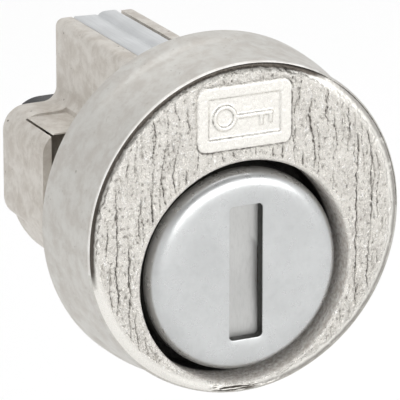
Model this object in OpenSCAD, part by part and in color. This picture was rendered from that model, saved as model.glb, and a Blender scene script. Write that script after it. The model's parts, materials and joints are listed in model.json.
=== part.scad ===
// Selector key switch: a pin-tumbler key cylinder in a round cast head, with a small rotary
// contact block on the plug's tail. Millimetres. The origin is the centre of the panel seat,
// the rear face of the head. +Y points to the back, +Z up, and the key goes in along +Y.

/* [Head] */
// Radius of the head at the panel seat
head_r = 12.6; // [12.4:0.1:13.2]
// Radius of the head just before its front edge
head_front_r = 12.0; // [11.8:0.1:12.3]
// Thickness of the head, from the panel seat to the face
head_t = 6.9; // [6.6:0.1:7.6]
// How far the plug's axis lies below the head's axis
plug_drop = 3.2; // [3.1:0.05:3.4]
// Radius of the counterbore around the cap
recess_r = 8.1; // [8:0.05:8.15]
// Depth of the name panel's recess in the face
panel_cut = 0.35; // [0.2:0.05:0.5]

/* [Body] */
// Length of the body behind the panel seat
body_l = 18.6; // [18.6:0.1:20]
// Outer radius of the round barrel
barrel_r = 6.8; // [6.7:0.05:6.9]
// Half the width of the shoulders
shoulder_x = 7.3; // [7.2:0.1:8]
// Height of the shoulders' top face
shoulder_top = 2.85; // [2.8:0.05:3]
// Height of the shoulders' bottom face
shoulder_bottom = -5.8; // [-6.1:0.1:-5.7]
// Where the shoulders start behind the panel seat
shoulder_y = 11.4; // [10:0.1:12]
// Height of the pin chamber's top
chamber_top = 9.05; // [9:0.05:10]
// Half the width of the pin chamber
chamber_x = 3.3; // [3.2:0.05:3.6]
// Sideways offset of the pin chamber's casting
chamber_off = 0.35; // [0.1:0.05:0.4]

/* [Plug] */
// Radius of the plug
plug_r = 5.6; // [5.5:0.05:5.6]
// Radius of the face cap
cap_r = 7.36; // [7.3:0.02:7.4]
// Thickness of the cap's front
cap_t = 0.45; // [0.4:0.05:0.5]
// Width of the cap's key slot
slot_w = 2.56; // [2.4:0.02:2.6]
// Height of the cap's key slot
slot_h = 9.84; // [9.4:0.02:10]

/* [Pins] */
// Distance between two pins
pin_pitch = 3.4; // [3.2:0.05:3.4]
// Radius of a pin
pin_r = 1.3; // [1.2:0.05:1.35]
// Radius of the spring wire
wire_r = 0.14; // [0.12:0.01:0.16]

/* [Switch] */
// Outer radius of the contact block
block_r = 4.7; // [4.6:0.05:4.8]
// Thickness of the contact block's mounting plate
plate_t = 1.4; // [1.3:0.1:1.5]

/* [Hidden] */
$fn = 96;
over = 1;                            // how far a cut runs past a face
plug_z = -plug_drop;
face_y = -head_t;

// head
seat_fillet = 0.3;
rim_step_y = -2.4;                   // the rim is fuller behind this line
rim_step = 0.2;
face_fillet = 0.55;
recess_floor = -2.0;
mouth_round = 0.2;                   // rounding of the counterbore's mouth
panel_w = 7.1;
panel_h = 4.4;
panel_x = -0.1;
panel_z = 8.2;
panel_round = 0.7;
motif_w = 0.45;                      // width of the raised lines of the key sign

// body
bore_r = plug_r + 0.05;
lip_y = 17.7;                        // the bore narrows here to hold the plug
shoulder_round = 1.8;
chamber_round = 0.6;
chamber_fillet = 1.1;
ridge_y = 15.9;                      // the shoulders' top steps down in front of this line
ridge_drop = 0.18;
core_wall = 0.7;                     // wall around the cored shoulders
core_top_wall = 0.28;
core_depth = 4.6;
core_bottom = -1.5;
screw_x = 5.3;
screw_z = 0.9;
screw_hole_r = 0.65;
screw_depth = 3.2;
cover_w = 3.9;
cover_t = 0.55;
cover_rise = 0.2;                    // the cover's folded half stands this much higher
panel_room = 2.3;                    // the cover stays flush this far back, where a panel may lie
cover_y = [0.6, body_l - 0.15];
groove_w = 4.05;

// plug
head_back = recess_floor - 0.1;
plug_head_r = 6.93;
cap_wall = 0.4;
cap_back = -3.0;
cap_edge = 1.1;                      // radius of the cap's rolled edge
slot_corner = 0.3;
keyway_w = 2.3;
keyway_low = -4.75;
keyway_high = 4.1;
keyway_end = 17.5;
plug_end = lip_y - 0.1;
journal_r = 4.2;
groove_r = 3.3;
clip_y = body_l + 0.06;
clip_t = 0.45;
clip_r = 5.2;
collar_r = 3.9;
collar_end = clip_y + clip_t + 0.35;
tang_w = 1.6;
tang_h = 5.4;
tang_l = 1.6;

// shutter
flap_y = -6.1;                       // front face of the flap
flap_t = 0.35;
flap_h = 10.4;
hinge_x = 2.05;
hinge_y = -5.75;
hinge_r = 0.3;
knuckle_r = 0.6;
flap_edge = -1.4;
pocket_x = [-1.75, 2.85];
pocket_h = 10.9;
pocket_end = head_back - 0.1;
coil_gap = 3.0;                      // gap between the knuckles for the spring
coil_wire = 0.1;

// pins
pin_y0 = 2.4;
pin_bore_r = pin_r + 0.06;
shear_z = plug_z + plug_r;
key_pin_top = shear_z - 0.2;
driver_bottom = shear_z + 0.07;
ledge_z = plug_z + 1.0;              // where a key pin comes to rest without a key
key_pin_l = [2.6, 3.4, 2.4, 3.1, 2.8];
driver_l = 2.7;
cover_z = chamber_top - cover_t;
spring_turns = 5;
spring_r = 0.95;

// contact block
plate_y = [body_l, body_l + plate_t];
plate_x = 6.3;
plate_round = 2.6;
clip_room_r = 5.4;
clip_room = 1.05;
cup_end = 24.0;
cup_bore = 4.1;
rotor_hub_r = 3.1;
hub_clear = 0.05;
rotor_y = [collar_end + 0.1, plate_y[1] + 0.15, plate_y[1] + 1.15];
rotor_r = 3.9;
wiper_t = 0.3;
dimple_r = 0.4;
dimple_h = 0.25;
contact_r = 2.7;
board_t = 1.3;
lug_l = 3.2;
lug_w = 1.6;
lug_t = 0.4;
lug_eye_r = 0.4;

castColor = [0.78, 0.77, 0.74];
steelColor = [0.80, 0.81, 0.82];
brassColor = [0.80, 0.66, 0.36];
blackColor = [0.12, 0.12, 0.13];

// A cylinder along Y
module y_cyl(r, y0, y1) {
    translate([0, y0, 0]) rotate([-90, 0, 0]) cylinder(r = r, h = y1 - y0);
}

// Extrudes an outline in X and Z along Y
module along_y(y0, y1) {
    translate([0, y1, 0]) rotate([90, 0, 0]) linear_extrude(height = y1 - y0) children();
}

// Turns an outline of radius and Y about the Y axis
module around_y() {
    rotate([-90, 0, 0]) rotate_extrude() children();
}

// A rectangle with round corners, from its low and high corners
module round_rect(low, high, r) {
    translate([low[0] + r, low[1]]) square([high[0] - low[0] - 2 * r, high[1] - low[1]]);
    translate([low[0], low[1] + r]) square([high[0] - low[0], high[1] - low[1] - 2 * r]);
    for (x = [low[0] + r, high[0] - r], z = [low[1] + r, high[1] - r])
        translate([x, z]) circle(r);
}

// Points of an arc, for outlines
function arc(centre, r, a0, a1, steps) = [
    for (i = [0 : steps]) let (a = a0 + (a1 - a0) * i / steps)
        centre + r * [cos(a), sin(a)]
];

// A wire swept along a helix about Z, as rings of points joined side to side
module coil(r, wire, height, turns) {
    sides = 6;
    steps_per_turn = 14;
    steps = turns * steps_per_turn;
    points = [
        for (i = [0 : steps], j = [0 : sides - 1])
            let (a = 360 * i / steps_per_turn, b = 360 * j / sides, ring = r + wire * cos(b))
            [ring * cos(a), ring * sin(a), wire + (height - 2 * wire) * i / steps + wire * sin(b)]
    ];
    walls = [
        for (i = [0 : steps - 1], j = [0 : sides - 1]) let (k = (j + 1) % sides, n = i * sides)
            [n + j, n + sides + j, n + sides + k, n + k]
    ];
    ends = [[for (j = [0 : sides - 1]) j], [for (j = [sides - 1 : -1 : 0]) steps * sides + j]];
    polyhedron(points, concat(walls, ends));
}

// ---- body and cover

module head_outline() {
    rear = arc([head_r - seat_fillet, -seat_fillet], seat_fillet, 90, 0, 5);
    front = arc([head_front_r - face_fillet, face_y + face_fillet], face_fillet, 0, -90, 8);
    polygon(concat([[0, 0]], rear,
        [[head_r - 0.05, rim_step_y + rim_step], [head_r - 0.05 - rim_step, rim_step_y]],
        front, [[0, face_y]]));
}

module body_outline() {
    round_rect([-shoulder_x, shoulder_bottom], [shoulder_x, shoulder_top], shoulder_round);
    for (side = [-1, 1])
        translate([chamber_off + side * chamber_x, shoulder_top])
            difference() {
                translate([side > 0 ? -0.1 : -chamber_fillet, -0.1])
                    square([chamber_fillet + 0.1, chamber_fillet + 0.1]);
                translate([side * chamber_fillet, chamber_fillet]) circle(chamber_fillet);
            }
}

module neck_outline() {
    translate([0, plug_z]) circle(barrel_r);
    round_rect([chamber_off - chamber_x, plug_z], [chamber_off + chamber_x, chamber_top],
        chamber_round);
}

// The hollow in each shoulder, open towards the panel seat
module shoulder_core() {
    along_y(shoulder_y - over, shoulder_y + core_depth)
        difference() {
            translate([-shoulder_x + core_wall, core_bottom])
                square([shoulder_x - core_wall, shoulder_top - core_top_wall - core_bottom]);
            translate([0, plug_z]) circle(barrel_r);
            translate([chamber_off - chamber_x - 0.2, core_bottom]) square([10, 10]);
        }
}

module key_sign() {
    bow_x = -1.9;
    difference() {
        translate([bow_x, 0]) circle(1.15);
        translate([bow_x, 0]) circle(1.15 - motif_w);
    }
    translate([bow_x + 0.95, -motif_w / 2]) square([4.1, motif_w]);
    for (x = [1.3, 2.35]) translate([x, -1.05]) square([motif_w, 1.1]);
}

module lock_body() {
    color(castColor)
    difference() {
        union() {
            around_y() head_outline();
            along_y(-0.5, body_l) neck_outline();
            along_y(shoulder_y, body_l) body_outline();
        }
        translate([0, 0, plug_z]) {
            y_cyl(recess_r, face_y - over, recess_floor);
            around_y() polygon(concat([[0, face_y - over], [recess_r + mouth_round, face_y - over]],
                arc([recess_r + mouth_round, face_y + mouth_round], mouth_round, 270, 180, 6),
                [[0, face_y + mouth_round]]));
            y_cyl(bore_r, recess_floor - over, lip_y);
            y_cyl(journal_r + 0.05, lip_y - over, body_l + over);
        }
        for (i = [0 : 4])
            translate([0, pin_y0 + i * pin_pitch, plug_z]) cylinder(r = pin_bore_r, h = 20, $fn = 48);
        translate([-groove_w / 2 + chamber_off, cover_y[0] - 0.1, cover_z])
            cube([groove_w, body_l, 2]);
        for (side = [0, 1]) {
            mirror([side, 0, 0]) shoulder_core();
            mirror([side, 0, 0])
                translate([-shoulder_x - over, shoulder_y - over, shoulder_top - ridge_drop])
                    cube([shoulder_x + over - chamber_x - 0.1, ridge_y - shoulder_y + over, 1.5]);
            mirror([side, 0, 0]) translate([screw_x, 0, screw_z])
                y_cyl(screw_hole_r, body_l - screw_depth, body_l + over);
        }
        along_y(face_y - over, face_y + panel_cut)
            translate([panel_x, panel_z]) difference() {
                round_rect([-panel_w / 2, -panel_h / 2], [panel_w / 2, panel_h / 2], panel_round);
                key_sign();
            }
    }
}

module pin_cover() {
    half = cover_w / 2;
    color(steelColor)
    difference() {
        along_y(cover_y[0], cover_y[1])
            translate([chamber_off, cover_z])
                polygon([[-half, 0], [half, 0], [half, cover_t + cover_rise],
                    [0.9, cover_t + cover_rise], [0.2, cover_t + 0.02], [-half, cover_t + 0.08]]);
        translate([-5, 0, chamber_top]) cube([10, panel_room, 2]);
    }
}

// ---- plug and what turns with it

module slot_outline(w, h, r) {
    round_rect([-w / 2, -h / 2], [w / 2, h / 2], r);
}

module plug() {
    color(brassColor)
    difference() {
        translate([0, 0, plug_z]) {
            y_cyl(plug_head_r, face_y + cap_t, head_back);
            y_cyl(plug_r, head_back - over, plug_end);
            y_cyl(journal_r, plug_end - over, clip_y);
            y_cyl(groove_r, clip_y - over, collar_end);
            y_cyl(collar_r, clip_y + clip_t + 0.04, collar_end);
            translate([-tang_w / 2, collar_end - over, -tang_h / 2]) cube([tang_w, tang_l + over, tang_h]);
        }
        translate([0, 0, plug_z]) {
            translate([pocket_x[0], face_y, -pocket_h / 2])
                cube([pocket_x[1] - pocket_x[0], pocket_end - face_y, pocket_h]);
            translate([hinge_x, hinge_y, -pocket_h / 2 - 0.45]) cylinder(r = hinge_r, h = 20, $fn = 32);
            along_y(pocket_end - over, keyway_end)
                translate([-keyway_w / 2, keyway_low]) square([keyway_w, keyway_high - keyway_low]);
        }
        for (i = [0 : 4])
            translate([0, pin_y0 + i * pin_pitch, ledge_z]) cylinder(r = pin_bore_r, h = 20, $fn = 48);
    }
}

module face_cap() {
    color(steelColor)
    translate([0, 0, plug_z])
    difference() {
        around_y() polygon(concat([[0, face_y]],
            arc([cap_r - cap_edge, face_y + cap_edge], cap_edge, 270, 360, 10),
            [[cap_r, cap_back], [cap_r - cap_wall, cap_back],
             [cap_r - cap_wall, face_y + cap_t], [0, face_y + cap_t]]));
        along_y(face_y - over, face_y + cap_t + over) slot_outline(slot_w, slot_h, slot_corner);
    }
}

// A ring open on one side, snapped into the plug's groove
module plug_clip() {
    color(steelColor)
    translate([0, 0, plug_z])
    difference() {
        y_cyl(clip_r, clip_y, clip_y + clip_t);
        y_cyl(groove_r + 0.05, clip_y - over, clip_y + clip_t + over);
        translate([-1.6, clip_y - over, -10]) cube([3.2, 3, 10]);
    }
}

module rotor() {
    color([0.85, 0.83, 0.78])
    translate([0, 0, plug_z])
    difference() {
        union() {
            y_cyl(rotor_hub_r, rotor_y[0], rotor_y[2]);
            y_cyl(rotor_r, rotor_y[1], rotor_y[2]);
        }
        translate([-tang_w / 2 - 0.05, rotor_y[0] - over, -tang_h / 2 - 0.05])
            cube([tang_w + 0.1, collar_end + tang_l + 0.05 - rotor_y[0] + over, tang_h + 0.1]);
    }
}

module wiper() {
    color(brassColor)
    translate([0, 0, plug_z]) {
        along_y(rotor_y[2], rotor_y[2] + wiper_t) slot_outline(1.4, 2 * contact_r + 1.2, 0.6);
        for (side = [-1, 1]) translate([0, rotor_y[2] + wiper_t - 0.1, side * contact_r])
            rotate([-90, 0, 0]) cylinder(r1 = dimple_r, r2 = dimple_r * 0.6, h = dimple_h + 0.1, $fn = 32);
    }
}

// ---- shutter behind the key slot

module knuckle(z0, z1) {
    translate([hinge_x, hinge_y, z0]) cylinder(r = knuckle_r, h = z1 - z0, $fn = 48);
}

module shutter() {
    color(steelColor)
    translate([0, 0, plug_z])
    difference() {
        union() {
            translate([flap_edge, flap_y, -flap_h / 2]) cube([hinge_x - flap_edge, flap_t, flap_h]);
            knuckle(coil_gap / 2, flap_h / 2);
            knuckle(-flap_h / 2, -coil_gap / 2);
        }
        translate([hinge_x, hinge_y, -flap_h / 2 - over])
            cylinder(r = hinge_r + 0.04, h = flap_h + 2 * over, $fn = 48);
        translate([hinge_x - 0.75, flap_y - over, -coil_gap / 2]) cube([3, 3, coil_gap]);
    }
}

module shutter_pin() {
    color(steelColor)
    translate([hinge_x, hinge_y, plug_z - pocket_h / 2 - 0.4])
        cylinder(r = hinge_r - 0.01, h = pocket_h + 0.8, $fn = 32);
}

module shutter_spring() {
    room = coil_gap - 0.2;
    color(steelColor)
    translate([hinge_x, hinge_y, plug_z - room / 2])
        coil(hinge_r + 0.03 + coil_wire, coil_wire, room, 6);
}

// ---- pins, one stack for each number

module key_pin(i) {
    tip = 0.6;
    color(brassColor)
    translate([0, pin_y0 + (i - 1) * pin_pitch, key_pin_top - key_pin_l[i - 1]]) {
        cylinder(r1 = pin_r * 0.45, r2 = pin_r, h = tip, $fn = 48);
        translate([0, 0, tip]) cylinder(r = pin_r, h = key_pin_l[i - 1] - tip, $fn = 48);
    }
}

module driver_pin(i) {
    color(steelColor)
    translate([0, pin_y0 + (i - 1) * pin_pitch, driver_bottom]) cylinder(r = pin_r, h = driver_l, $fn = 48);
}

module pin_spring(i) {
    color(steelColor)
    translate([0, pin_y0 + (i - 1) * pin_pitch, driver_bottom + driver_l])
        coil(spring_r, wire_r, cover_z - driver_bottom - driver_l, spring_turns);
}

// ---- contact block

module plate_outline() {
    round_rect([-plate_x, shoulder_bottom + 0.1], [plate_x, shoulder_top], plate_round);
    translate([0, plug_z]) circle(clip_room_r + 0.5);
}

module switch_base() {
    color(blackColor)
    difference() {
        union() {
            along_y(plate_y[0], plate_y[1]) plate_outline();
            translate([0, 0, plug_z]) y_cyl(block_r, plate_y[0], cup_end);
        }
        translate([0, 0, plug_z]) {
            y_cyl(clip_room_r, plate_y[0] - over, plate_y[0] + clip_room);
            y_cyl(rotor_hub_r + hub_clear, plate_y[0], cup_end);
            y_cyl(cup_bore, plate_y[1], cup_end + over);
        }
        for (side = [-1, 1]) translate([side * screw_x, 0, screw_z]) {
            y_cyl(0.85, plate_y[0] - over, plate_y[1] + over);
            translate([0, plate_y[1] - 0.7, 0]) rotate([-90, 0, 0]) cylinder(r1 = 0.85, r2 = 1.55, h = 0.7);
            translate([0, plate_y[1] - 0.01, 0]) y_cyl(1.55, 0, 5);
        }
    }
}

module base_screws() {
    color(steelColor)
    for (side = [-1, 1]) translate([side * screw_x, 0, screw_z]) difference() {
        union() {
            y_cyl(screw_hole_r, body_l - screw_depth + 0.2, plate_y[1] - 0.3);
            translate([0, plate_y[1] - 0.65, 0]) rotate([-90, 0, 0])
                cylinder(r1 = 0.75, r2 = 1.35, h = 0.6);
        }
        translate([-2, plate_y[1] - 0.3, -0.15]) cube([4, 1, 0.3]);
    }
}

module terminal_board() {
    color([0.35, 0.24, 0.16])
    translate([0, 0, plug_z])
    difference() {
        y_cyl(cup_bore - 0.02, cup_end - board_t, cup_end);
        for (a = [0 : 90 : 270]) rotate([0, a, 0])
            translate([-lug_w / 2, cup_end - board_t - over, contact_r - lug_t / 2])
                cube([lug_w, board_t + 2 * over, lug_t]);
    }
}

// A contact pad inside the block, with its solder lug through the board
module terminal(i) {
    pad_y = rotor_y[2] + wiper_t + dimple_h + 0.03;
    color(brassColor)
    translate([0, 0, plug_z]) rotate([0, 90 * (i - 1), 0]) difference() {
        union() {
            translate([-lug_w / 2, pad_y, contact_r - lug_t / 2])
                cube([lug_w, cup_end + lug_l - pad_y, lug_t]);
            translate([-lug_w / 2, pad_y, contact_r - 0.7]) cube([lug_w, lug_t, 1.3]);
        }
        translate([0, cup_end + lug_l - 0.8, contact_r - lug_t]) cylinder(r = lug_eye_r, h = 2 * lug_t, $fn = 32);
    }
}

lock_body();
pin_cover();
plug();
face_cap();
plug_clip();
shutter();
shutter_pin();
shutter_spring();
key_pin(1);  // key_pin_1
key_pin(2);  // key_pin_2
key_pin(3);  // key_pin_3
key_pin(4);  // key_pin_4
key_pin(5);  // key_pin_5
driver_pin(1);  // driver_pin_1
driver_pin(2);  // driver_pin_2
driver_pin(3);  // driver_pin_3
driver_pin(4);  // driver_pin_4
driver_pin(5);  // driver_pin_5
pin_spring(1);  // pin_spring_1
pin_spring(2);  // pin_spring_2
pin_spring(3);  // pin_spring_3
pin_spring(4);  // pin_spring_4
pin_spring(5);  // pin_spring_5
switch_base();
base_screws();
rotor();
wiper();
terminal_board();
terminal(1);  // terminal_1
terminal(2);  // terminal_2
terminal(3);  // terminal_3
terminal(4);  // terminal_4
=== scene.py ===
import bpy
import bmesh
import json
import math
from mathutils import Matrix, Vector, noise

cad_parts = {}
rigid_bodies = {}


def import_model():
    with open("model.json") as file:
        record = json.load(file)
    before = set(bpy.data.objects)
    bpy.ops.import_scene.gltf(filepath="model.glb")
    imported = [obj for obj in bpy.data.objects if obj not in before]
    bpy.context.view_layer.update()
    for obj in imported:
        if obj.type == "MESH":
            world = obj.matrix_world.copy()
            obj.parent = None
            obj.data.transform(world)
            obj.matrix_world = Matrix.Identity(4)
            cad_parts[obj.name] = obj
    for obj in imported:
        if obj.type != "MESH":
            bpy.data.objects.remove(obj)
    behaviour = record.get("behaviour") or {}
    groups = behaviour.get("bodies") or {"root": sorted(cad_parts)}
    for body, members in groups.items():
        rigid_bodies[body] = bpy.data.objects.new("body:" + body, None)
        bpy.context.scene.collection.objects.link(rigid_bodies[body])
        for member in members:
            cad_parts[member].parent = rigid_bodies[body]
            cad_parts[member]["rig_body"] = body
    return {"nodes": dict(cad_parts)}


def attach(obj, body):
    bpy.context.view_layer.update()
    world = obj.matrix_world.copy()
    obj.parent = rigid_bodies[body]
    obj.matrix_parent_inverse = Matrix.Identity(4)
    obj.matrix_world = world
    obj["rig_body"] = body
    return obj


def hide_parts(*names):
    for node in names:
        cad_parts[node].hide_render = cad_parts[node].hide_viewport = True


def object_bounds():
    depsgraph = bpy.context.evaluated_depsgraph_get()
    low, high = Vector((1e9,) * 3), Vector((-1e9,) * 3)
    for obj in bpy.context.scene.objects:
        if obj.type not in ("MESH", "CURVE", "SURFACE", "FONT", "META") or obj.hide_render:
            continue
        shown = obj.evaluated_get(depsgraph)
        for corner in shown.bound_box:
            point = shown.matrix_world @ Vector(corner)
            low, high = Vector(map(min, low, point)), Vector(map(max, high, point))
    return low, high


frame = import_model()
cadLow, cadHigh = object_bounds()
mm = 0.001
standing = Matrix.Rotation(math.radians(90), 4, "X")  # local X, Y and depth to the row's X, Z and -Y
print("frame loaded")


# camera, floor and light
shot = {"azimuth": -26.03, "elevation": 18.19, "distance": 0.3, "right": -0.00019, "up": 0.00007,
        "lens": 381.3, "sensor": 36}


def makeCamera():
    a, e = math.radians(shot["azimuth"]), math.radians(shot["elevation"])
    back = Vector((math.sin(a) * math.cos(e), -math.cos(a) * math.cos(e), math.sin(e)))
    right = Vector((math.cos(a), math.sin(a), 0))
    up = back.cross(right)
    data = bpy.data.cameras.new("camera")
    data.lens = shot["lens"]
    data.sensor_width = shot["sensor"]
    data.clip_start = 0.01
    data.clip_end = 10
    camera = bpy.data.objects.new("camera", data)
    camera.location = back * shot["distance"] + right * shot["right"] + up * shot["up"]
    turn = Matrix((right, up, back)).transposed()
    camera.rotation_euler = turn.to_euler()
    bpy.context.scene.collection.objects.link(camera)
    bpy.context.scene.camera = camera


def areaLight(name, place, width, height, power):
    # a rectangular lamp that faces the switch
    data = bpy.data.lights.new(name, "AREA")
    data.shape = "RECTANGLE"
    data.size = width
    data.size_y = height
    data.energy = power
    lamp = bpy.data.objects.new(name, data)
    lamp.location = place
    lamp.rotation_euler = Vector(place).to_track_quat("Z", "Y").to_euler()
    bpy.context.scene.collection.objects.link(lamp)


studio = {"floorDrop": 0.022, "floorSize": 3.0, "paper": (0.93, 0.93, 0.93, 1), "paperRough": 0.9,
          "lowSky": 0.94, "highSky": 0.40, "fallFrom": 0.30, "fallTo": 0.62,
          "lights": {"topLight": ((0.0, 0.08, 0.62), 1.0, 0.8, 3.4),  # place, width, height, watts
                     "frontStrip": ((0.18, -0.57, 0.17), 0.72, 0.28, 1.45)}}


def makeStudio():
    bm = bmesh.new()
    bmesh.ops.create_grid(bm, x_segments=8, y_segments=8, size=studio["floorSize"] / 2)
    bmesh.ops.translate(bm, verts=bm.verts, vec=(0, 0, cadLow.z - studio["floorDrop"]))
    mesh = bpy.data.meshes.new("floor")
    bm.to_mesh(mesh)
    bm.free()
    floor = bpy.data.objects.new("floor", mesh)
    bpy.context.scene.collection.objects.link(floor)
    paper = bpy.data.materials.new("paleFloor")
    paper.use_nodes = True
    shader = paper.node_tree.nodes["Principled BSDF"]
    shader.inputs["Base Color"].default_value = studio["paper"]
    shader.inputs["Roughness"].default_value = studio["paperRough"]
    floor.data.materials.append(paper)
    world = bpy.data.worlds.new("studio")
    world.use_nodes = True
    nodes, links = world.node_tree.nodes, world.node_tree.links
    sky = nodes["Background"]
    way = nodes.new("ShaderNodeTexCoord")
    axes = nodes.new("ShaderNodeSeparateXYZ")
    fall = nodes.new("ShaderNodeMapRange")
    links.new(way.outputs["Generated"], axes.inputs[0])
    links.new(axes.outputs["Z"], fall.inputs["Value"])
    fall.inputs["From Min"].default_value = studio["fallFrom"]
    fall.inputs["From Max"].default_value = studio["fallTo"]
    fall.inputs["To Min"].default_value = studio["lowSky"]
    fall.inputs["To Max"].default_value = studio["highSky"]
    links.new(fall.outputs["Result"], sky.inputs["Strength"])
    sky.inputs["Color"].default_value = (1, 1, 1, 1)
    bpy.context.scene.world = world
    for name, settings in studio["lights"].items():
        areaLight(name, *settings)
    bpy.context.scene.view_settings.view_transform = "Standard"


makeCamera()
makeStudio()
print("camera and light made")


# shared shader effects
def makeGroup(name, inputs, outputs):
    group = bpy.data.node_groups.new(name, "ShaderNodeTree")
    for label, value in inputs.items():
        socket = group.interface.new_socket(label, in_out="INPUT", socket_type="NodeSocketFloat")
        socket.default_value = value
    for label in outputs:
        group.interface.new_socket(label, in_out="OUTPUT", socket_type="NodeSocketFloat")
    return group, group.nodes.new("NodeGroupInput"), group.nodes.new("NodeGroupOutput")


def addNode(tree, kind, settings=None, **values):
    node = tree.nodes.new(kind)
    for key, value in (settings or {}).items():
        setattr(node, key, value)
    for key, value in values.items():
        node.inputs[key].default_value = value
    return node


def addMath(tree, operation, first, second, clamp=False):
    node = addNode(tree, "ShaderNodeMath", {"operation": operation, "use_clamp": clamp})
    for slot, value in enumerate((first, second)):
        if isinstance(value, (int, float)):
            node.inputs[slot].default_value = value
        else:
            tree.links.new(value, node.inputs[slot])
    return node.outputs[0]


def objectPoint(tree, stretch=(1, 1, 1)):
    place = addNode(tree, "ShaderNodeTexCoord").outputs["Object"]
    mapping = addNode(tree, "ShaderNodeMapping")
    mapping.inputs["Scale"].default_value = [1000 * s for s in stretch]  # millimetres
    tree.links.new(place, mapping.inputs["Vector"])
    return mapping.outputs[0]


def noiseField(tree, point, scale, detail=3, roughness=0.5, distortion=0):
    node = addNode(tree, "ShaderNodeTexNoise", Scale=scale, Detail=detail, Roughness=roughness,
                   Distortion=distortion)
    tree.links.new(point, node.inputs["Vector"])
    return node.outputs["Fac"]


def remap(tree, value, low, high, newLow=0, newHigh=1):
    node = addNode(tree, "ShaderNodeMapRange", {"interpolation_type": "SMOOTHSTEP"})
    tree.links.new(value, node.inputs["Value"])
    for label, number in (("From Min", low), ("From Max", high), ("To Min", newLow), ("To Max", newHigh)):
        node.inputs[label].default_value = number
    return node.outputs["Result"]


def castSkinGroup():
    # skin of a plated die casting: flow marks, orange peel, dark specks and scattered pits
    group, start, end = makeGroup("castSkin", {"Pits": 0.5, "Peel": 0.5}, ["Height", "Pit", "Tone", "Speck"])
    point = objectPoint(group)
    broad = noiseField(group, point, 0.75, 6, 0.68, 0.25)
    peel = noiseField(group, point, 2.4, 3, 0.55)
    fine = noiseField(group, point, 9.0, 2, 0.5)
    cells = addNode(group, "ShaderNodeTexVoronoi", Scale=0.95, Randomness=1.0)
    warp = addNode(group, "ShaderNodeVectorMath", {"operation": "MULTIPLY_ADD"})
    wobble = addNode(group, "ShaderNodeTexNoise", Scale=2.4, Detail=3.0)
    group.links.new(point, wobble.inputs["Vector"])
    group.links.new(wobble.outputs["Color"], warp.inputs[0])
    warp.inputs[1].default_value = (0.6, 0.6, 0.6)
    group.links.new(point, warp.inputs[2])
    group.links.new(warp.outputs[0], cells.inputs["Vector"])
    core = remap(group, cells.outputs["Distance"], 0.12, 0.04)
    few = remap(group, noiseField(group, point, 0.5, 2), 0.47, 0.56)
    pit = addMath(group, "MULTIPLY", addMath(group, "MULTIPLY", core, few), start.outputs["Pits"], True)
    grit = remap(group, noiseField(group, point, 5.0, 4, 0.7), 0.58, 0.70)
    patch = remap(group, noiseField(group, point, 0.6, 3, 0.6), 0.48, 0.66)
    height = addMath(group, "MULTIPLY", peel, start.outputs["Peel"])
    height = addMath(group, "ADD", height, addMath(group, "MULTIPLY", fine, 0.14))
    height = addMath(group, "ADD", height, addMath(group, "MULTIPLY", broad, 0.4))
    height = addMath(group, "SUBTRACT", height, addMath(group, "MULTIPLY", pit, 1.2))
    group.links.new(height, end.inputs["Height"])
    group.links.new(pit, end.inputs["Pit"])
    group.links.new(remap(group, broad, 0.36, 0.66), end.inputs["Tone"])
    group.links.new(addMath(group, "MULTIPLY", grit, patch), end.inputs["Speck"])
    return group


castSkin = castSkinGroup()


def startMaterial(name):
    material = bpy.data.materials.new(name)
    material.use_nodes = True
    tree = material.node_tree
    return material, tree, tree.nodes["Principled BSDF"]


def mixColour(tree, factor, first, second):
    node = addNode(tree, "ShaderNodeMix", {"data_type": "RGBA"})
    tree.links.new(factor, node.inputs["Factor"])
    for socket, value in ((node.inputs["A"], first), (node.inputs["B"], second)):
        if isinstance(value, tuple):
            socket.default_value = (*value, 1)
        else:
            tree.links.new(value, socket)
    return node.outputs["Result"]


def addBump(tree, shader, height, depth):
    bump = addNode(tree, "ShaderNodeBump", Distance=depth, Strength=1.0)
    tree.links.new(height, bump.inputs["Height"])
    tree.links.new(bump.outputs["Normal"], shader.inputs["Normal"])


def useGroup(tree, group, **values):
    node = addNode(tree, "ShaderNodeGroup")
    node.node_tree = group
    for label, value in values.items():
        node.inputs[label].default_value = value
    return node


castLook = {
    "head": {"light": (0.655, 0.645, 0.615), "warm": (0.575, 0.55, 0.515), "pit": (0.26, 0.23, 0.20),
             "pits": 0.7, "metal": 1.0},
    "body": {"light": (0.68, 0.65, 0.605), "warm": (0.55, 0.51, 0.46), "pit": (0.20, 0.175, 0.15),
             "pits": 1.0, "metal": 0.72},
    # rim: a brighter copy of the cast finish, a painted highlight for the sharp upper-left lip
    "rim": {"light": (0.82, 0.81, 0.79), "warm": (0.70, 0.68, 0.65), "pit": (0.3, 0.27, 0.24),
            "pits": 0.8, "metal": 1.0},
    "peel": 0.5, "speck": 0.55, "rough": (0.50, 0.62), "bump": 0.00002}


def castMaterial(name, look):
    material, tree, shader = startMaterial(name)
    skin = useGroup(tree, castSkin, Pits=look["pits"], Peel=castLook["peel"])
    shader.inputs["Metallic"].default_value = look["metal"]
    colour = mixColour(tree, skin.outputs["Tone"], look["light"], look["warm"])
    speck = addMath(tree, "MULTIPLY", skin.outputs["Speck"], castLook["speck"])
    colour = mixColour(tree, speck, colour, look["pit"])
    colour = mixColour(tree, skin.outputs["Pit"], colour, look["pit"])
    tree.links.new(colour, shader.inputs["Base Color"])
    blotch = noiseField(tree, objectPoint(tree), 0.8, 4, 0.6)
    tree.links.new(remap(tree, blotch, 0.3, 0.7, *castLook["rough"]), shader.inputs["Roughness"])
    addBump(tree, shader, skin.outputs["Height"], castLook["bump"])
    return material


barkLook = {"light": (0.745, 0.72, 0.675), "shade": (0.64, 0.615, 0.575), "crack": (0.085, 0.075, 0.065),
            "glint": (0.95, 0.94, 0.92), "smooth": (0.83, 0.81, 0.765), "rough": (0.22, 0.40),
            "bump": 0.00009}


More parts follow.
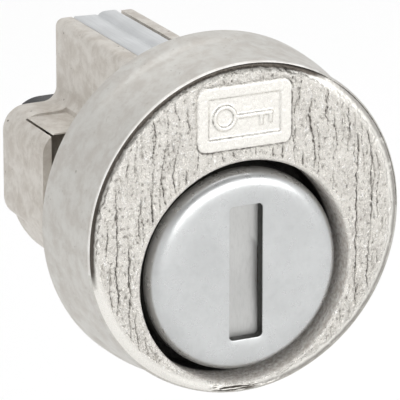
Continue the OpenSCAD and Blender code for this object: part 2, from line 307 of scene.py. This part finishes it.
def barkMaterial():
    # pale plates, dark cracks from the relief's own attribute, and a painted glint on the bright crests
    material, tree, shader = startMaterial("barkFace")
    shader.inputs["Metallic"].default_value = 1.0
    crack = addNode(tree, "ShaderNodeAttribute", {"attribute_name": "crack"}).outputs["Fac"]
    mottle = noiseField(tree, objectPoint(tree, (1, 1, 0.45)), 1.5, 4, 0.65)
    sparkle = noiseField(tree, objectPoint(tree, (1, 1, 0.7)), 6.0, 3, 0.6)
    crumbs = noiseField(tree, objectPoint(tree, (1, 1, 0.6)), 4.2, 4, 0.7)
    calm = addNode(tree, "ShaderNodeAttribute", {"attribute_name": "calm"}).outputs["Fac"]
    busy = addMath(tree, "SUBTRACT", 1.0, addMath(tree, "MULTIPLY", calm, 0.8), True)
    colour = mixColour(tree, remap(tree, mottle, 0.35, 0.7), barkLook["light"], barkLook["shade"])
    colour = mixColour(tree, calm, colour, barkLook["smooth"])
    # painted glint: the crests of the bump noise are lightened towards the glint colour
    bright = addMath(tree, "MULTIPLY", remap(tree, crumbs, 0.58, 0.68), busy)
    colour = mixColour(tree, bright, colour, barkLook["glint"])
    dots = addMath(tree, "MULTIPLY", remap(tree, crumbs, 0.35, 0.28, 0, 0.6), busy)
    colour = mixColour(tree, dots, colour, barkLook["crack"])
    # the crack attribute holds the cracks' darkness and the painted shade of the panel walls and moat
    colour = mixColour(tree, remap(tree, crack, 0.12, 0.85), colour, barkLook["crack"])
    tree.links.new(colour, shader.inputs["Base Color"])
    tree.links.new(remap(tree, sparkle, 0.3, 0.7, *barkLook["rough"]), shader.inputs["Roughness"])
    height = addMath(tree, "ADD", sparkle, addMath(tree, "MULTIPLY", crumbs, 1.8))
    addBump(tree, shader, addMath(tree, "MULTIPLY", height, busy), barkLook["bump"])
    return material


# the deep colour and its range are painted shade inside the bore
boreLook = {"dull": (0.68, 0.62, 0.56), "bright": (1.0, 0.97, 0.92), "deep": (0.03, 0.028, 0.025),
            "paintedShadeFrom": -4.6, "paintedShadeTo": -3.9, "metal": 0.05, "rough": (0.65, 0.45), "bump": 0.0003}


def boreMaterial():
    # counterbore wall: left rough and thinly plated, with painted shade darkening it towards the back of the
    # bore
    material, tree, shader = startMaterial("roughBore")
    shader.inputs["Metallic"].default_value = boreLook["metal"]
    grain = noiseField(tree, objectPoint(tree), 3.2, 5, 0.65)
    colour = mixColour(tree, remap(tree, grain, 0.35, 0.65), boreLook["dull"], boreLook["bright"])
    axes = addNode(tree, "ShaderNodeSeparateXYZ")
    tree.links.new(objectPoint(tree), axes.inputs[0])
    # painted shade: the wall's colour goes dark towards the back of the bore
    deep = remap(tree, axes.outputs["Y"], boreLook["paintedShadeFrom"], boreLook["paintedShadeTo"])
    colour = mixColour(tree, deep, colour, boreLook["deep"])
    tree.links.new(colour, shader.inputs["Base Color"])
    tree.links.new(remap(tree, grain, 0.3, 0.7, *boreLook["rough"]), shader.inputs["Roughness"])
    addBump(tree, shader, grain, boreLook["bump"])
    return material


def satinSteelMaterial(name, colour, rough, lines=(1, 1, 1), scale=8.0, depth=0.000004):
    material, tree, shader = startMaterial(name)
    shader.inputs["Metallic"].default_value = 1.0
    grain = noiseField(tree, objectPoint(tree, lines), scale, 4, 0.6)
    cloud = noiseField(tree, objectPoint(tree), 0.35, 3, 0.5)
    tone = mixColour(tree, remap(tree, cloud, 0.3, 0.7), colour, tuple(c * 0.92 for c in colour))
    tone = mixColour(tree, remap(tree, grain, 0.45, 0.8, 0, 0.35), tone, tuple(c * 0.75 for c in colour))
    tree.links.new(tone, shader.inputs["Base Color"])
    tree.links.new(remap(tree, grain, 0.3, 0.7, rough * 0.85, rough * 1.2), shader.inputs["Roughness"])
    addBump(tree, shader, grain, depth)
    return material


def plasticMaterial(name, colour, rough, fleck=0.06):
    material, tree, shader = startMaterial(name)
    grain = noiseField(tree, objectPoint(tree), 7.0, 3, 0.6)
    cloud = noiseField(tree, objectPoint(tree), 0.5, 3, 0.5)
    lighter = tuple(min(1, c + fleck) for c in colour)
    tone = mixColour(tree, remap(tree, cloud, 0.35, 0.7, 0, 0.6), colour, lighter)
    tree.links.new(tone, shader.inputs["Base Color"])
    tree.links.new(remap(tree, grain, 0.3, 0.7, rough * 0.85, rough * 1.15), shader.inputs["Roughness"])
    addBump(tree, shader, grain, 0.000012)
    return material


castNickel = castMaterial("castNickel", castLook["head"])
castBody = castMaterial("castBody", castLook["body"])
barkFace = barkMaterial()
roughBore = boreMaterial()
# painted highlight on the sharp upper-left lip, where the light catches it
paintedLipHighlight = castMaterial("paintedLipHighlight", castLook["rim"])
capSteel = satinSteelMaterial("capSteel", (0.60, 0.61, 0.61), 0.30, scale=1.2, depth=0.000002)
slotShade = satinSteelMaterial("slotShade", (0.10, 0.10, 0.095), 0.5, scale=5.0, depth=0.000002)
shutterSteel = satinSteelMaterial("shutterSteel", (0.52, 0.52, 0.51), 0.42, lines=(1, 1, 0.25), scale=7.0)
stripSteel = satinSteelMaterial("stripSteel", (0.75, 0.765, 0.775), 0.38, lines=(1, 0.06, 1), scale=7.0)
zincSteel = satinSteelMaterial("zincSteel", (0.58, 0.59, 0.60), 0.34)
springSteel = satinSteelMaterial("springSteel", (0.50, 0.50, 0.51), 0.28)
plugBrass = satinSteelMaterial("plugBrass", (0.78, 0.58, 0.27), 0.27, lines=(1, 5, 1), scale=2.0)
nickelSilver = satinSteelMaterial("nickelSilver", (0.70, 0.66, 0.54), 0.25, lines=(1, 1, 6), scale=2.0)
contactBronze = satinSteelMaterial("contactBronze", (0.76, 0.53, 0.30), 0.30)
blackThermoset = plasticMaterial("blackThermoset", (0.018, 0.018, 0.020), 0.42, fleck=0.012)
rotorPlastic = plasticMaterial("rotorPlastic", (0.72, 0.68, 0.58), 0.45)
boardPhenolic = plasticMaterial("boardPhenolic", (0.20, 0.10, 0.05), 0.5, fleck=0.05)
print("materials made")


# mesh helpers
def finishPiece(bm, name, body, nodes, materials, sharp):
    # turns the mesh into the piece's object, which stands in for the named CAD nodes
    mesh = bpy.data.meshes.new(name)
    bm.to_mesh(mesh)
    bm.free()
    piece = bpy.data.objects.new(name, mesh)
    bpy.context.scene.collection.objects.link(piece)
    for material in materials:
        mesh.materials.append(material)
    mesh.shade_smooth()
    mesh.set_sharp_from_angle(angle=math.radians(sharp))
    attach(piece, body)
    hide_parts(*nodes)


def latheRings(bm, outline, steps, centre):
    # spins an outline of (radius, depth) in millimetres about the local Z axis at centre
    chain = [bm.verts.new((centre[0] + r * mm, centre[1], z * mm)) for r, z in outline]
    edges = [bm.edges.new(pair) for pair in zip(chain, chain[1:])]
    bmesh.ops.spin(bm, geom=chain + edges, cent=(*centre, 0), axis=(0, 0, 1), angle=math.tau,
                   steps=steps, use_merge=True, use_duplicate=False)
    bmesh.ops.remove_doubles(bm, verts=bm.verts, dist=1e-7)


def arcPoints(centre, radius, start, end, steps):
    # points along an arc, with its ends in degrees
    turns = [math.radians(start + (end - start) * i / steps) for i in range(steps + 1)]
    return [(centre[0] + radius * math.cos(a), centre[1] + radius * math.sin(a)) for a in turns]


def openEdges(bm, test):
    # open edges whose middle, in millimetres, passes the test
    return [e for e in bm.edges if e.is_boundary and test((e.verts[0].co + e.verts[1].co) / 2 / mm)]


def smoothStep(value, low, high):
    t = min(1, max(0, (value - low) / (high - low)))
    return t * t * (3 - 2 * t)


# head of the casting
headShape = {"plugDrop": 3.2, "faceDepth": 6.86, "lipRadius": 11.94, "lipRound": 0.14, "wornRound": 0.82,
             "side": [(12.1, 5.9), (12.14, 4.9), (12.26, 3.4), (12.34, 2.8), (12.36, 2.6), (12.4, 2.4),
                      (12.44, 2.2), (12.48, 2.0), (12.51, 1.75), (12.54, 1.2)],
             "backMiddle": (12.25, 0.33), "backRound": 0.32, "seatEdge": 12.0, "mouth": 8.1,
             "mouthRound": 0.2, "throat": 5.65, "floorDepth": 2.0, "steps": 768, "rings": 90}


def bellCurve(value, width):
    return math.exp(-(value / width) ** 2)


def drift(x, z, layer, across=1.0, along=1.0):
    return noise.noise(Vector((x * across, z * along, layer)))


def crackSet(x, z, pitch, layer, width, share):
    # wandering vertical cracks, one near every multiple of the pitch, each broken into lengths
    best = 0
    wander = 0.55 * pitch * drift(0.35 * x, z, layer, 1, 0.32) + 0.12 * drift(x, z, layer + 3, 0.8, 1.1)
    wander += 0.07 * drift(x, z, layer + 5, 2.5, 3.6) + 0.035 * drift(x, z, layer + 6, 5.5, 8.5)
    column = round((x + wander) / pitch)
    for i in (column - 1, column, column + 1):
        jump = 0.42 * pitch * drift(i * 7.31, 0.5, layer + 9)
        offset = x + wander - i * pitch - jump
        alive = smoothStep(drift(i * 3.77, z, layer + 13, 1, 0.21), share - 0.12, share + 0.12)
        thick = width * (0.75 + 0.9 * abs(drift(i * 1.3, z, layer + 17, 1, 1.6)))
        best = max(best, alive * bellCurve(offset, thick))
    return best


def wormLines(x, z, layer, size, width):
    # thin lines where a noise field crosses zero
    value = drift(x, z, layer, size, 0.62 * size) + 0.3 * drift(x, z, layer + 2, 2.6 * size, 1.7 * size)
    here = drift(x, z, layer, size, 0.62 * size)
    step = 0.03
    slope = math.hypot(drift(x + step, z, layer, size, 0.62 * size) - here,
                       drift(x, z + step, layer, size, 0.62 * size) - here) / step
    return bellCurve(value / max(slope, 0.35), width)


def boxDistance(x, z, halfWidth, halfHeight, corner):
    # how far a point is outside a round-cornered box, less than 0 inside it
    across, along = abs(x) - halfWidth + corner, abs(z) - halfHeight + corner
    return math.hypot(max(across, 0), max(along, 0)) + min(max(across, along), 0) - corner


keySign = {"bowMiddle": -1.5, "bowRadius": 0.78, "line": 0.15, "round": 0.05,
           "strokes": [(0.8, 0.0, 1.4, 0.15), (1.3, -0.4, 0.14, 0.42), (2.0, -0.36, 0.14, 0.38)]}


def keySignDistance(x, z):
    # a plain key: a ring, a shaft and two teeth
    bow = abs(math.hypot(x - keySign["bowMiddle"], z) - keySign["bowRadius"]) - keySign["line"]
    return min([bow] + [boxDistance(x - middleX, z - middleZ, halfWidth, halfHeight, keySign["round"])
                        for middleX, middleZ, halfWidth, halfHeight in keySign["strokes"]])


namePanel = {"x": -0.1, "z": 8.2, "width": 7.1, "height": 4.5, "corner": 0.55, "frame": 0.8, "cut": 0.17,
             "moat": 0.1}


def panelDistance(px, pz):
    return boxDistance(px, pz, namePanel["width"] / 2, namePanel["height"] / 2, namePanel["corner"])


def panelRelief(px, pz):
    # depth and darkness of the sunk field with its raised key sign
    sunk = smoothStep(panelDistance(px, pz) + namePanel["frame"], 0.07, -0.07)
    raised = smoothStep(keySignDistance(px, pz), 0.06, -0.06)
    floor = sunk * (1 - raised)
    rough = 0.012 * drift(px, pz, 95, 1.3, 1.3) + 0.008 * drift(px, pz, 96, 3.6, 3.6)
    # painted shade on the walls of the sunk field and key sign, heavier in the left half of the panel
    wall = 4 * floor * (1 - floor)
    shade = 0.75 if px < 0 else 0.5
    return rough + namePanel["cut"] * floor, wall * shade * (0.85 + drift(px, pz, 97, 2.1, 2.1))


barkShape = {"longCracks": {"pitch": 0.88, "layer": 11.0, "width": 0.046, "share": 0.0},
             "shortCracks": {"pitch": 0.61, "layer": 41.0, "width": 0.036, "share": 0.08},
             "longDepth": 0.12, "shortDepth": 0.09, "wormDepth": 0.065, "fineWormDepth": 0.05,
             "pitDepth": 0.06, "lumpHeight": 0.034, "highest": 0.035}


def faceRelief(x, z):
    # depth below the face in millimetres, and darkness, of the cast bark and the panel
    b = barkShape
    long = crackSet(x, z, **b["longCracks"])
    short = crackSet(x + 0.4, z, **b["shortCracks"])
    field = smoothStep(drift(x, z, 71, 0.75, 0.3), -0.12, 0.25)
    worm = wormLines(x, z, 61.0, 2.3, 0.035) * smoothStep(drift(x, z, 66, 1.6, 1.1), -0.2, 0.15)
    fineWorm = wormLines(x, z, 81.0, 3.9, 0.03) * (1 - 0.4 * field)
    fineWorm *= smoothStep(drift(x, z, 67, 1.2, 0.9), -0.1, 0.2)
    pit = smoothStep(drift(x, z, 60, 4.6, 3.4), 0.33, 0.5)
    lump = drift(x, z, 72, 1.3, 0.4) + 0.7 * drift(x, z, 83, 3.1, 1.7) + 0.35 * drift(x, z, 84, 6.5, 4.5)
    depth = b["longDepth"] * long + b["shortDepth"] * short + b["wormDepth"] * worm
    depth += b["fineWormDepth"] * fineWorm + b["pitDepth"] * pit - b["lumpHeight"] * lump
    dark = max(0.88 * long, 0.72 * short, 0.5 * worm * (0.6 + 0.4 * field), 0.42 * fineWorm, 0.55 * pit)
    px, pz = x - namePanel["x"], z - namePanel["z"]
    ragged = panelDistance(px, pz) + 0.05 * drift(x, z, 98, 1.7, 1.7)
    away = smoothStep(ragged, 0.02, 0.3)
    panelDepth, panelDark = panelRelief(px, pz)
    moat = bellCurve(ragged - 0.1, 0.085)
    # painted shade: the moat is darkened most below and to the right, away from the light
    side = 1.0 if pz < -1.6 or px > 3.0 else 0.4  # the moat is darkest below and to the right
    depth = away * depth + (1 - away) * panelDepth + namePanel["moat"] * moat
    moatDark = side * moat * (0.75 + 0.5 * drift(x, z, 99, 2.6, 2.6))
    dark = max(away * dark, (1 - away) * panelDark, moatDark)
    return depth, max(0, min(1, dark))


wear = {"sharpAt": 125, "sharpReach": (78, 48), "rightAt": -15, "rightReach": (95, 60), "rightShare": 0.35}


def turnBetween(angle, other):
    return abs((angle - other + 180) % 360 - 180)


def edgeWear(angle):
    # how sharp the cast rim is around the head: 1 at the upper left, 0 at the lower left
    up = smoothStep(turnBetween(angle, wear["sharpAt"]), *wear["sharpReach"])
    right = wear["rightShare"] * smoothStep(turnBetween(angle, wear["rightAt"]), *wear["rightReach"])
    return max(up, right)


rimLine = {"inset": 0.15, "width": 0.27, "depth": 0.2, "slopeDepth": 0.1, "slopeDark": 0.62,
           "slopeFrom": 11.3, "slopeTo": 11.5, "widestAt": 138}


def rimRelief(x, z, radius):
    # foot of the raised rim: a black broken line with a grey slope inside it
    angle = math.degrees(math.atan2(z, x))
    sharp = edgeWear(angle)
    ragged = 0.05 * drift(x, z, 101, 1.2, 1.2) + 0.035 * drift(x, z, 102, 3.8, 3.8)
    broken = 0.7 + 0.8 * drift(x, z, 103, 0.9, 0.9) + 0.6 * drift(x, z, 104, 4.0, 4.0)
    lip = headShape["lipRadius"]
    line = bellCurve(radius + ragged - lip + rimLine["inset"], rimLine["width"])
    slope = smoothStep(radius + 2.5 * ragged, rimLine["slopeFrom"], rimLine["slopeTo"])
    slope *= smoothStep(radius, lip, lip - 0.14)
    wide = 0.6 + 0.4 * smoothStep(abs(angle - rimLine["widestAt"]), 26, 8)
    depth = sharp * (rimLine["depth"] * line + rimLine["slopeDepth"] * slope)
    dark = sharp * max(1.6 * min(1, broken + 0.6) * line, rimLine["slopeDark"] * wide * slope)
    worn = smoothStep(radius, 11.0, 11.45) * (1 - sharp)
    return depth, min(1, dark), max(smoothStep(radius + 3 * ragged, 11.15, 11.5), worn)


flakes = {"at": -94, "reach": (13, 5), "radius": 8.6, "width": 0.34, "depth": 0.1}


def mouthFlakes(x, z, plugRadius):
    # dark flakes on the land under the mouth
    patchy = drift(x, z, 107, 0.8, 8.0) + 0.35 * drift(x, z, 108, 2.2, 12.0)
    reach = smoothStep(abs(math.degrees(math.atan2(z, x)) - flakes["at"]), *flakes["reach"])
    band = bellCurve(plugRadius - flakes["radius"] + 0.1 * patchy, flakes["width"])
    return reach * band * smoothStep(patchy, -0.25, 0.2)


def joinCircles(bm, test, radius, depth, cuts):
    # carries the rim's open circle in to a circle around the plug's axis, in even rings
    rim = openEdges(bm, test)
    grown = bmesh.ops.extrude_edge_only(bm, edges=rim)["geom"]
    inner = [g for g in grown if isinstance(g, bmesh.types.BMVert)]
    for vert in inner:
        turn = math.atan2(vert.co.y, vert.co.x)
        low = radius * math.sin(turn) - headShape["plugDrop"]
        vert.co = Vector((radius * math.cos(turn), low, depth)) * mm
    found = set(inner)
    rays = [e for e in bm.edges if (e.verts[0] in found) != (e.verts[1] in found)]
    if cuts:
        bmesh.ops.subdivide_edges(bm, edges=rays, cuts=cuts)


def headOutlines():
    # the two outlines that are spun: the rim, and the mouth down to the plug's bore
    h = headShape
    deep, lip = h["faceDepth"], h["lipRadius"]
    rim = [(lip, deep)] + arcPoints((lip, deep - h["lipRound"]), h["lipRound"], 82, 0, 8) + h["side"]
    rim += arcPoints(h["backMiddle"], h["backRound"], 0, 90, 5) + [(h["seatEdge"], 0.0)]
    mouth = [(h["throat"], 0.0), (h["throat"], h["floorDepth"]), (h["mouth"], h["floorDepth"])]
    mouth.append((h["mouth"], 4.4))
    mouth += arcPoints((h["mouth"] + h["mouthRound"], deep - h["mouthRound"]), h["mouthRound"], 180, 90, 5)
    return rim[::-1], mouth


def shapeHead(bm):
    # rounds the worn rim, presses the relief into the face and keeps its darkness for the material
    h = headShape
    deep, lip = h["faceDepth"], h["lipRadius"]
    mouthEdge = h["mouth"] + h["mouthRound"]
    crack = bm.verts.layers.float.new("crack")
    calm = bm.verts.layers.float.new("calm")
    for vert in bm.verts:
        x, z, d = (c / mm for c in vert.co)
        radius, plugRadius = math.hypot(x, z), math.hypot(x, z + h["plugDrop"])
        dull = 1 - edgeWear(math.degrees(math.atan2(z, x)))
        if d > 5.8 and radius > lip - 0.9:
            band = h["lipRound"] + h["wornRound"] * dull * smoothStep(plugRadius, 8.3, 9.4)
            inside = max(0, radius - lip - h["lipRound"] + band) / band
            roundOff = band * 0.5 * (1 - math.sqrt(max(0, 1 - min(1, inside) ** 2)))
            if d > 6.5 or roundOff > 0.34:
                vert.co.z = min(d, deep - roundOff) * mm
        if d > 6.6 and radius < lip - 0.001 and plugRadius > mouthEdge + 0.001:
            depth, dark = faceRelief(x, z)
            rimDepth, rimDark, rimMask = rimRelief(x, z, radius)
            flake = mouthFlakes(x, z, plugRadius)
            keep = (1 - rimMask) * smoothStep(plugRadius, mouthEdge, mouthEdge + 0.25)
            depth = max(-barkShape["highest"], depth) * keep + rimDepth + flakes["depth"] * flake
            vert.co.z -= depth * mm
            # the crack darkness also carries the painted shade of the panel walls and moat
            vert[crack] = max(0.85 * dark * keep, rimDark, flake)
            panel = panelDistance(x - namePanel["x"], z - namePanel["z"])
            vert[calm] = max(smoothStep(panel, 0.15, -0.05), rimMask)


def makeHead():
    h = headShape
    mouthEdge = h["mouth"] + h["mouthRound"]
    bm = bmesh.new()
    rim, mouth = headOutlines()
    latheRings(bm, rim, h["steps"], (0, 0))
    latheRings(bm, mouth, h["steps"], (0, -h["plugDrop"] * mm))
    joinCircles(bm, lambda p: p.z > 6 and math.hypot(p.x, p.y) > 11.6, mouthEdge, h["faceDepth"], h["rings"])
    joinCircles(bm, lambda p: p.z < 1 and math.hypot(p.x, p.y) > 11.6, h["throat"], 0, 0)
    bmesh.ops.remove_doubles(bm, verts=bm.verts, dist=2e-7)
    shapeHead(bm)
    materials = [castNickel, barkFace, roughBore, paintedLipHighlight]
    lip = h["lipRadius"]
    for face in bm.faces:
        x, z, d = face.calc_center_median() / mm
        radius = math.hypot(x, z)
        if math.hypot(x, z + h["plugDrop"]) < h["mouth"] + 0.05 and d > 0.1:
            face.material_index = materials.index(roughBore)
        elif d > 6.5 and lip - 0.02 < radius < lip + 0.13:
            # the sharp lip faces at the upper left get the painted highlight
            if edgeWear(math.degrees(math.atan2(z, x))) > 0.5:
                face.material_index = materials.index(paintedLipHighlight)
        elif d > 6.2 and radius < lip - 0.02:
            face.material_index = materials.index(barkFace)
    bm.transform(standing)
    bmesh.ops.recalc_face_normals(bm, faces=bm.faces)
    finishPiece(bm, "headCasting", "housing", ["lock_body"], materials, 60)


makeHead()
print("head made")


# rounded copies of the exact solids
def roundedCopy(node, width, segments=2, keepBehind=None, angle=32):
    # the node's own shape, merged, with its sharp edges rounded over
    bm = bmesh.new()
    bm.from_mesh(frame["nodes"][node].data)
    bmesh.ops.remove_doubles(bm, verts=bm.verts, dist=1e-6)
    if keepBehind is not None:
        bmesh.ops.bisect_plane(bm, geom=bm.verts[:] + bm.edges[:] + bm.faces[:], dist=1e-7,
                               plane_co=(0, keepBehind, 0), plane_no=(0, 1, 0), clear_inner=True)
        rim = [e for e in bm.edges if e.is_boundary]
        bmesh.ops.triangle_fill(bm, edges=rim, use_beauty=True)
    bmesh.ops.dissolve_limit(bm, angle_limit=math.radians(1.0), verts=bm.verts, edges=bm.edges,
                             delimit={"NORMAL"})
    sharp = [e for e in bm.edges if e.is_manifold and e.calc_face_angle(0) > math.radians(angle)]
    bmesh.ops.bevel(bm, geom=sharp, offset=width * mm, offset_type="OFFSET", segments=segments,
                    profile=0.5, affect="EDGES", clamp_overlap=True, material=-1)
    return bm


bodyShape = {"round": 0.14, "segments": 3, "frontCut": 0.02, "sharpFrom": 14, "shadeAngle": 24}


def makeBody():
    # the casting behind the head's rear face
    b = bodyShape
    bm = roundedCopy("lock_body", b["round"], b["segments"], b["frontCut"] * mm, b["sharpFrom"])
    materials = [castBody, roughBore]
    finishPiece(bm, "bodyCasting", "housing", ["lock_body"], materials, b["shadeAngle"])


makeBody()
print("body made")


# face cap
capShape = {"flat": 5.7, "rollDepth": 1.25, "rollPower": 2.6, "rollSteps": 18, "radius": 7.36, "front": 6.9,
            "sheet": 0.45, "back": 3.0, "rimWidth": 0.4, "rimRound": 0.05, "outsideStep": 4.6,
            "insideTop": 5.9, "slotWidth": 2.56, "slotHeight": 9.84, "slotCorner": 0.3, "turnedIn": 6.16,
            "shadeFrom": 0.1, "shadeTo": 5.72, "steps": 256}


def slotLoop(bm, grow, depth):
    # round-cornered outline of the key slot
    s = capShape
    points = []
    for x, y, start in ((1, 1, 0), (-1, 1, 90), (-1, -1, 180), (1, -1, 270)):
        middle = (x * (s["slotWidth"] / 2 - s["slotCorner"]), y * (s["slotHeight"] / 2 - s["slotCorner"]))
        points += arcPoints(middle, s["slotCorner"] + grow, start, start + 90, 5)
    return [bm.verts.new((x * mm, (y - headShape["plugDrop"]) * mm, depth * mm)) for x, y in points]


def capOutline():
    # half of the cap's section: the rolled edge outside, then back up inside the sheet
    s = capShape
    roll, power = s["radius"] - s["flat"], s["rollPower"]
    outline = []
    for i in range(s["rollSteps"] + 1):
        along = math.sin(math.radians(90 / s["rollSteps"] * i))
        drop = s["rollDepth"] * (1 - max(0, 1 - along ** power) ** (1 / power))
        outline.append((s["flat"] + roll * along, s["front"] - drop))
    inside = s["radius"] - s["rimWidth"]
    outline += [(s["radius"], s["outsideStep"]), (s["radius"], s["back"] + s["rimRound"])]
    outline += [(s["radius"] - s["rimRound"], s["back"]), (inside + 0.02, s["back"])]
    outline += [(inside, s["back"] + s["rimRound"]), (inside, s["insideTop"])]
    return outline + [(s["flat"], s["front"] - s["sheet"])]


def makeCap():
    s = capShape
    bm = bmesh.new()
    latheRings(bm, capOutline(), s["steps"], (0, -headShape["plugDrop"] * mm))
    materials = [capSteel, slotShade]
    front, back = s["front"], s["front"] - s["sheet"]
    loops = [slotLoop(bm, 0.07, front), slotLoop(bm, 0.02, front - 0.02), slotLoop(bm, 0, front - 0.07),
             slotLoop(bm, 0, s["turnedIn"]), slotLoop(bm, 0.14, s["turnedIn"]), slotLoop(bm, 0.14, back)]
    for index, (first, second) in enumerate(zip(loops, loops[1:])):
        for k in range(len(first)):
            n = (k + 1) % len(first)
            face = bm.faces.new((first[k], first[n], second[n], second[k]))
            face.material_index = 1 if index > 1 else 0
    for depth in (front, back):
        rims = openEdges(bm, lambda p: abs(p.z - depth) < 0.001)
        bmesh.ops.triangle_fill(bm, edges=rims, use_beauty=True)
    for face in bm.faces:
        if s["shadeFrom"] < face.calc_center_median().z / mm < s["shadeTo"]:
            face.material_index = 1
    bm.transform(standing)
    bmesh.ops.recalc_face_normals(bm, faces=bm.faces)
    finishPiece(bm, "faceCap", "plug_assembly", ["face_cap"], materials, 40)


makeCap()
print("cap made")


# folded strip over the pin chamber
coverShape = {"offset": 0.35, "low": 8.5, "start": 2.5, "end": 18.4, "cuts": 40, "waveFrom": 0.4,
              "outline": [(-1.95, 0.0), (-1.95, 0.5), (-1.9, 0.6), (-1.82, 0.625), (-0.9, 0.585),
                          (-0.14, 0.57), (-0.03, 0.5), (0.05, 0.5), (0.14, 0.6), (0.34, 0.7), (0.6, 0.745),
                          (1.2, 0.74), (1.42, 0.72), (1.54, 0.66), (1.6, 0.55), (1.62, 0.4), (1.62, 0.0)]}


def makeCover():
    s = coverShape
    bm = bmesh.new()
    ring = [bm.verts.new(((x + s["offset"]) * mm, s["end"] * mm, (z + s["low"]) * mm))
            for x, z in s["outline"]]
    face = bm.faces.new(ring)
    grown = bmesh.ops.extrude_face_region(bm, geom=[face])
    moved = [v for v in grown["geom"] if isinstance(v, bmesh.types.BMVert)]
    bmesh.ops.translate(bm, verts=moved, vec=(0, (s["start"] - s["end"]) * mm, 0))
    lengthwise = [e for e in bm.edges if abs(e.verts[0].co.y - e.verts[1].co.y) > mm]
    bmesh.ops.subdivide_edges(bm, edges=lengthwise, cuts=s["cuts"])
    for vert in bm.verts:
        x, y, z = (c / mm for c in vert.co)
        if z > s["low"] + s["waveFrom"]:
            dip = 0.02 * drift(x, y, 5, 1.2, 0.5) + 0.012 * drift(x, y, 6, 2.5, 1.4) - 0.012
            vert.co.z += min(0, dip) * mm
            vert.co.x += 0.012 * drift(y, z, 8, 1.3, 1.0) * mm
    bmesh.ops.recalc_face_normals(bm, faces=bm.faces)
    finishPiece(bm, "pinCover", "housing", ["pin_cover"], [stripSteel], 50)


makeCover()
print("cover made")


# pieces that keep the exact shape, with softened edges
softened = {
    "shutter": ("shutterFlap", shutterSteel, 0.04, "shutter_steel"),
    "switch_base": ("switchBase", blackThermoset, 0.15, "black_thermoset"),
    "terminal_board": ("terminalBoard", boardPhenolic, 0.05, "board_phenolic"),
    "base_screws": ("baseScrews", zincSteel, 0.04, "fastener_steel"),
    "rotor": ("rotorDrum", rotorPlastic, 0.08, "rotor_plastic"),
    "plug_clip": ("plugClip", springSteel, 0.05, "spring_steel"),
}
for node, (name, material, width, slot) in softened.items():
    body = frame["nodes"][node]["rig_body"]
    finishPiece(roundedCopy(node, width), name, body, [node], [material], 20)
for i in range(1, 5):
    node = f"terminal_{i}"
    lug = roundedCopy(node, 0.05)
    finishPiece(lug, f"terminalLug{i}", "housing", [node], [contactBronze], 20)
print("softened pieces made")


# finishes of the solids that stay
def refinish(node, material):
    piece = frame["nodes"][node]
    piece.data.materials.clear()
    piece.data.materials.append(material)


refinish("plug", plugBrass)
refinish("shutter_pin", zincSteel)
refinish("shutter_spring", springSteel)
refinish("wiper", contactBronze)
for i in range(1, 6):
    refinish(f"key_pin_{i}", plugBrass)
    refinish(f"driver_pin_{i}", nickelSilver)
    refinish(f"pin_spring_{i}", springSteel)
print("finishes set")
